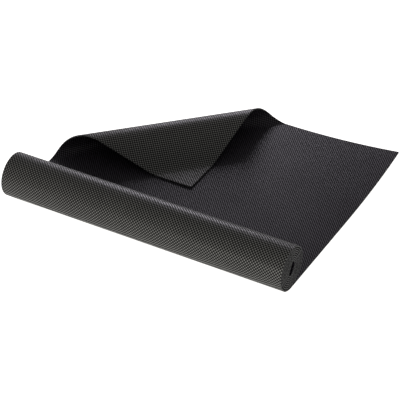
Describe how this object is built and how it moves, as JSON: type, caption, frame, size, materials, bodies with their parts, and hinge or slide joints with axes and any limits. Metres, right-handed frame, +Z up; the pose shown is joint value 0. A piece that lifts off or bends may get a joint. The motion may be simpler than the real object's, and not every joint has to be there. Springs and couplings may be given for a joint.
{
  "type": "exercise mat",
  "caption": "Long thin foam exercise mat, part rolled into a cylinder at one end, lying flat at the other, with one corner folded over and the opposite corner lifted",
  "frame": {"origin": "centre of the footprint on the floor, midway between the front of the roll and the far edge of the sheet", "axes": "+X along the roll, to the end that faces right when the roll is in front; +Y from the roll across the flat sheet to its far edge; +Z up"},
  "size_m": [0.6106, 0.5189, 0.0893],
  "materials": {
    "foam_top": "matt black closed-cell PVC foam with an embossed knit texture, faintly violet",
    "foam_bottom": "matt black closed-cell PVC foam with an embossed knit texture",
    "scrim": "dark knitted polyester scrim, seen only as a line along the cut edges"
  },
  "bodies": {
    "root": {"flat_bottom_foam": "foam_bottom", "flat_scrim": "scrim", "flat_top_foam": "foam_top"},
    "lifted_corner": {"lifted_corner_bottom_foam": "foam_bottom", "lifted_corner_scrim": "scrim", "lifted_corner_top_foam": "foam_top"},
    "lap_1": {"lap_1_bottom_foam": "foam_bottom", "lap_1_scrim": "scrim", "lap_1_top_foam": "foam_top"},
    "lap_2": {"lap_2_bottom_foam": "foam_bottom", "lap_2_scrim": "scrim", "lap_2_top_foam": "foam_top"},
    "lap_3": {"lap_3_bottom_foam": "foam_bottom", "lap_3_scrim": "scrim", "lap_3_top_foam": "foam_top"},
    "lap_4": {"lap_4_bottom_foam": "foam_bottom", "lap_4_scrim": "scrim", "lap_4_top_foam": "foam_top"},
    "lap_5": {"lap_5_bottom_foam": "foam_bottom", "lap_5_scrim": "scrim", "lap_5_top_foam": "foam_top"},
    "lap_6": {"lap_6_bottom_foam": "foam_bottom", "lap_6_scrim": "scrim", "lap_6_top_foam": "foam_top"},
    "lap_7": {"lap_7_bottom_foam": "foam_bottom", "lap_7_scrim": "scrim", "lap_7_top_foam": "foam_top"},
    "lap_8": {"lap_8_bottom_foam": "foam_bottom", "lap_8_scrim": "scrim", "lap_8_top_foam": "foam_top"},
    "core": {"core_bottom_foam": "foam_bottom", "core_scrim": "scrim", "core_top_foam": "foam_top"},
    "curl_1": {"curl_1_bottom_foam": "foam_bottom", "curl_1_scrim": "scrim", "curl_1_top_foam": "foam_top"},
    "curl_2": {"curl_2_bottom_foam": "foam_bottom", "curl_2_scrim": "scrim", "curl_2_top_foam": "foam_top"},
    "curl_3": {"curl_3_bottom_foam": "foam_bottom", "curl_3_scrim": "scrim", "curl_3_top_foam": "foam_top"},
    "curl_4": {"curl_4_bottom_foam": "foam_bottom", "curl_4_scrim": "scrim", "curl_4_top_foam": "foam_top"},
    "curl_5": {"curl_5_bottom_foam": "foam_bottom", "curl_5_scrim": "scrim", "curl_5_top_foam": "foam_top"},
    "curl_6": {"curl_6_bottom_foam": "foam_bottom", "curl_6_scrim": "scrim", "curl_6_top_foam": "foam_top"},
    "flap": {"flap_bottom_foam": "foam_bottom", "flap_scrim": "scrim", "flap_top_foam": "foam_top"},
    "bend": {"bend_bottom_foam": "foam_bottom", "bend_scrim": "scrim", "bend_top_foam": "foam_top"},
    "tip": {"tip_bottom_foam": "foam_bottom", "tip_scrim": "scrim", "tip_top_foam": "foam_top"}
  },
  "joints": [
    {"name": "roll_open_1", "type": "hinge", "parent": "root", "child": "lap_1", "pos_m": [0, -0.21467, 0], "axis": [1, 0, 0], "range_deg": [0, 11.25]},
    {"name": "roll_open_2", "type": "hinge", "parent": "lap_1", "child": "lap_2", "pos_m": [0, -0.23176, 0.0034], "axis": [1, 0, 0], "range_deg": [0, 22.5]},
    {"name": "roll_open_3", "type": "hinge", "parent": "lap_2", "child": "lap_3", "pos_m": [0, -0.24625, 0.01308], "axis": [1, 0, 0], "range_deg": [0, 22.5]},
    {"name": "roll_open_4", "type": "hinge", "parent": "lap_3", "child": "lap_4", "pos_m": [0, -0.25593, 0.02757], "axis": [1, 0, 0], "range_deg": [0, 22.5]},
    {"name": "roll_open_5", "type": "hinge", "parent": "lap_4", "child": "lap_5", "pos_m": [0, -0.25933, 0.04466], "axis": [1, 0, 0], "range_deg": [0, 22.5]},
    {"name": "roll_open_6", "type": "hinge", "parent": "lap_5", "child": "lap_6", "pos_m": [0, -0.25593, 0.06175], "axis": [1, 0, 0], "range_deg": [0, 22.5]},
    {"name": "roll_open_7", "type": "hinge", "parent": "lap_6", "child": "lap_7", "pos_m": [0, -0.24625, 0.07623], "axis": [1, 0, 0], "range_deg": [0, 22.5]},
    {"name": "roll_open_8", "type": "hinge", "parent": "lap_7", "child": "lap_8", "pos_m": [0, -0.23176, 0.08591], "axis": [1, 0, 0], "range_deg": [0, 22.5]},
    {"name": "roll_open_9", "type": "hinge", "parent": "lap_8", "child": "core", "pos_m": [0, -0.21467, 0.08931], "axis": [1, 0, 0], "range_deg": [0, 11.25]},
    {"name": "fold_open_1", "type": "hinge", "parent": "root", "child": "curl_1", "pos_m": [-0.12621, 0.08054, 0], "axis": [-0.7071, -0.7071, 0], "range_deg": [0, 18.33]},
    {"name": "fold_open_2", "type": "hinge", "parent": "curl_1", "child": "curl_2", "pos_m": [-0.13624, 0.09057, 0.0047], "axis": [-0.7071, -0.7071, 0], "range_deg": [0, 36.68]},
    {"name": "fold_open_3", "type": "hinge", "parent": "curl_2", "child": "curl_3", "pos_m": [-0.1423, 0.09663, 0.01694], "axis": [-0.7071, -0.7071, 0], "range_deg": [0, 36.68]},
    {"name": "fold_open_4", "type": "hinge", "parent": "curl_3", "child": "curl_4", "pos_m": [-0.142, 0.09632, 0.03187], "axis": [-0.7071, -0.7071, 0], "range_deg": [0, 35.34]},
    {"name": "fold_open_5", "type": "hinge", "parent": "curl_4", "child": "curl_5", "pos_m": [-0.1326, 0.08693, 0.0495], "axis": [-0.7071, -0.7071, 0], "range_deg": [0, 34.01]},
    {"name": "fold_open_6", "type": "hinge", "parent": "curl_5", "child": "curl_6", "pos_m": [-0.11784, 0.07217, 0.05669], "axis": [-0.7071, -0.7071, 0], "range_deg": [0, 34.01]},
    {"name": "fold_open_7", "type": "hinge", "parent": "curl_6", "child": "flap", "pos_m": [-0.10277, 0.05709, 0.05098], "axis": [-0.7071, -0.7071, 0], "range_deg": [0, 17.01]},
    {"name": "fold_open_8", "type": "hinge", "parent": "flap", "child": "bend", "pos_m": [-0.06066, 0.01499, 0.00964], "axis": [-0.7071, -0.7071, 0], "range_deg": [-16.01, 0]},
    {"name": "fold_open_9", "type": "hinge", "parent": "bend", "child": "tip", "pos_m": [-0.04651, 0.00084, 0.0039], "axis": [-0.7071, -0.7071, 0], "range_deg": [-16.01, 0]},
    {"name": "corner_press", "type": "hinge", "parent": "root", "child": "lifted_corner", "pos_m": [0.19904, 0.15337, 0.0035], "axis": [0.7071, -0.7071, 0], "range_deg": [-5.9, 0], "stiffness_Nm_per_rad": 0.2, "springref_deg": 5.73}
  ],
  "couplings": [
    {"joint": "roll_open_2", "follows": "roll_open_1", "ratio": 2},
    {"joint": "roll_open_3", "follows": "roll_open_1", "ratio": 2},
    {"joint": "roll_open_4", "follows": "roll_open_1", "ratio": 2},
    {"joint": "roll_open_5", "follows": "roll_open_1", "ratio": 2},
    {"joint": "roll_open_6", "follows": "roll_open_1", "ratio": 2},
    {"joint": "roll_open_7", "follows": "roll_open_1", "ratio": 2},
    {"joint": "roll_open_8", "follows": "roll_open_1", "ratio": 2},
    {"joint": "roll_open_9", "follows": "roll_open_1", "ratio": 1},
    {"joint": "fold_open_2", "follows": "fold_open_1", "ratio": 2},
    {"joint": "fold_open_3", "follows": "fold_open_1", "ratio": 2},
    {"joint": "fold_open_4", "follows": "fold_open_1", "ratio": 1.9273},
    {"joint": "fold_open_5", "follows": "fold_open_1", "ratio": 1.8545},
    {"joint": "fold_open_6", "follows": "fold_open_1", "ratio": 1.8545},
    {"joint": "fold_open_7", "follows": "fold_open_1", "ratio": 0.92727},
    {"joint": "fold_open_8", "follows": "fold_open_1", "ratio": -0.87273},
    {"joint": "fold_open_9", "follows": "fold_open_1", "ratio": -0.87273}
  ]
}
